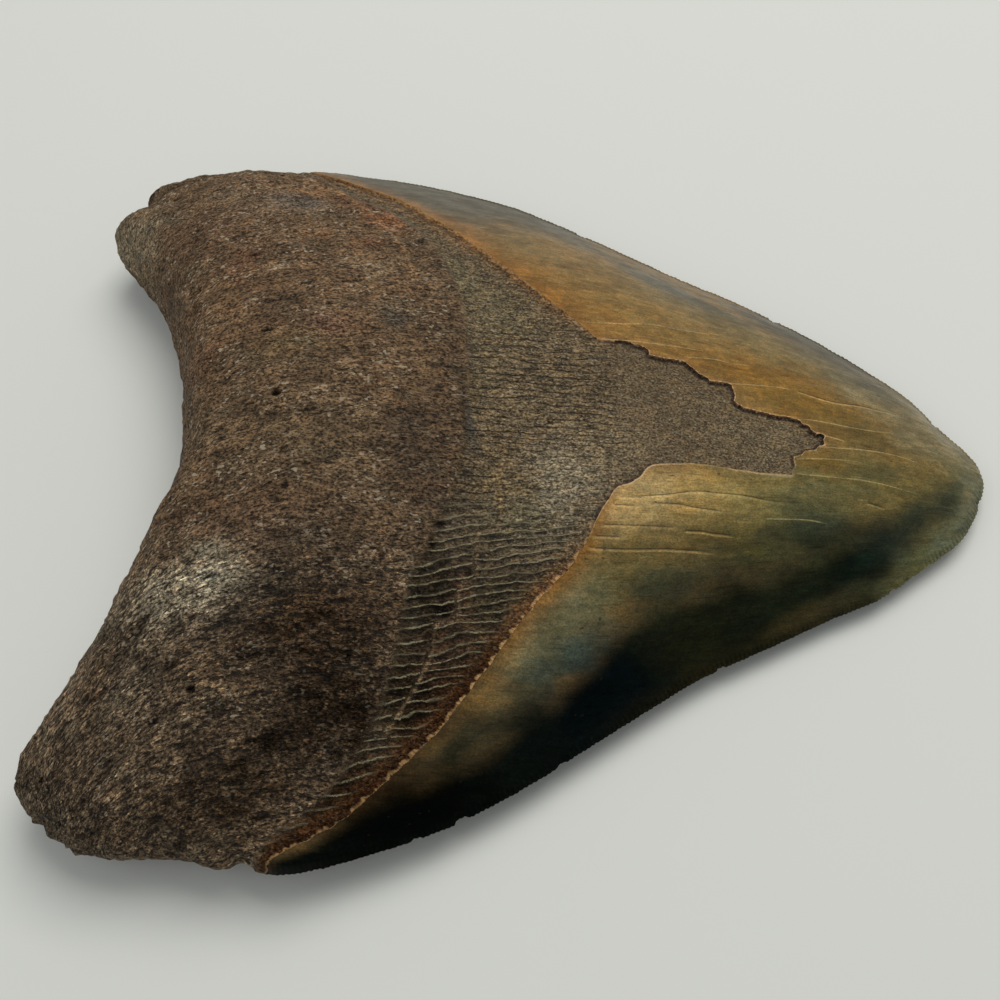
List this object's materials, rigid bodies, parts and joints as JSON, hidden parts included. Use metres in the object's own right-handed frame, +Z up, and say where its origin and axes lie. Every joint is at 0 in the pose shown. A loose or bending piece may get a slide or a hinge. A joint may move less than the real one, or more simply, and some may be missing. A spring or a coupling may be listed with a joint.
{
  "type": "megalodon tooth",
  "caption": "Fossil shark tooth lying on its flat labial face: broad triangular serrated enamel crown with a chipped lower front, sunken neck band and a thick two-lobed root.",
  "frame": {"origin": "centre of the bounding box in plan, on the plane that the tooth rests on", "axes": "+X from the root arch to the crown tip; +Y across the tooth towards the lobe with the nicked corner; +Z up, away from the labial face it lies on"},
  "size_m": [0.14, 0.1218, 0.028],
  "materials": {
    "mineralised_tooth": "matt, porous dark brown root; smooth satin enamel in ochre, olive and blue-grey"
  },
  "bodies": {
    "root": {"tooth": "mineralised_tooth"}
  },
  "joints": []
}
